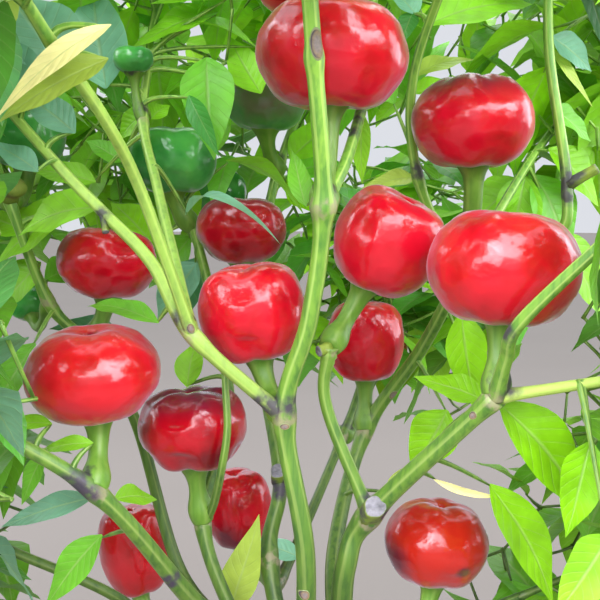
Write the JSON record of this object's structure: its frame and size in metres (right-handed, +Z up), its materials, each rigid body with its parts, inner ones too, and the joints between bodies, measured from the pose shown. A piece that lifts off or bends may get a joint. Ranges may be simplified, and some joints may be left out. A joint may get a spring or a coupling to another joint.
{
  "type": "chilli pepper plant",
  "caption": "Bushy chilli plant with one upright woody stem, forking green stems open to the front, round red and green fruit standing at the forks, and leafy shoots all round.",
  "frame": {"origin": "middle of the flat cut under the main stem, at ground level", "axes": "+Z up along the plant; the open front of the crown, where most fruit shows, faces -Y; +X to the right as seen from the front"},
  "size_m": [0.4305, 0.4244, 0.5285],
  "materials": {
    "woody_stem": "green bark turning woody and brown towards the ground",
    "stem": "smooth ribbed green stem, purple-black at the forks",
    "leaf": "soft satin leaf with pale veins",
    "fruit_red": "waxy glossy ripe skin",
    "fruit_dark_red": "waxy glossy skin, dark red",
    "fruit_green": "waxy glossy unripe skin"
  },
  "bodies": {
    "root": {"main_stem": "woody_stem", "stem_front": "stem", "stem_right": "stem", "stem_left": "stem", "stem_centre": "stem", "stem_back": "stem", "stem_side": "stem", "stem_mid": "stem", "stem_rear": "stem", "stem_low_left": "stem", "stem_low_right": "stem", "stem_inner": "stem", "bough_right": "stem", "bough_right_low": "stem", "bough_edge": "stem", "bough_loop": "stem", "bough_far": "stem", "bough_left": "stem", "bough_near": "stem", "bough_back_left": "stem", "bough_top": "stem", "fruit_front_top": "fruit_red", "fruit_right_top": "fruit_red", "fruit_right": "fruit_red", "fruit_inner": "fruit_red", "fruit_heart": "fruit_red", "fruit_behind": "fruit_red", "fruit_left": "fruit_red", "fruit_mid": "fruit_dark_red", "fruit_side": "fruit_red", "fruit_centre": "fruit_dark_red", "fruit_low_right": "fruit_red", "fruit_low_left": "fruit_red", "fruit_low_rear": "fruit_red", "fruit_green": "fruit_green", "fruit_green_high": "fruit_green", "fruit_green_small": "fruit_green", "fruit_green_side": "fruit_green", "fruit_rear": "fruit_red", "fruit_rear_left": "fruit_green", "fruit_crown": "fruit_red", "fruit_side_high": "fruit_green", "foliage_front": "leaf", "foliage_top": "leaf", "foliage_right_top": "leaf", "foliage_middle_top": "leaf", "foliage_left_top": "leaf", "foliage_near_left": "leaf", "foliage_back_left_top": "leaf", "foliage_right": "leaf", "foliage_right_low": "leaf", "foliage_low_right": "leaf", "foliage_low_left": "leaf", "foliage_left": "leaf", "foliage_side": "leaf", "foliage_back_top": "leaf", "foliage_back_right": "leaf", "foliage_back_left": "leaf", "foliage_rear": "leaf"}
  },
  "joints": []
}
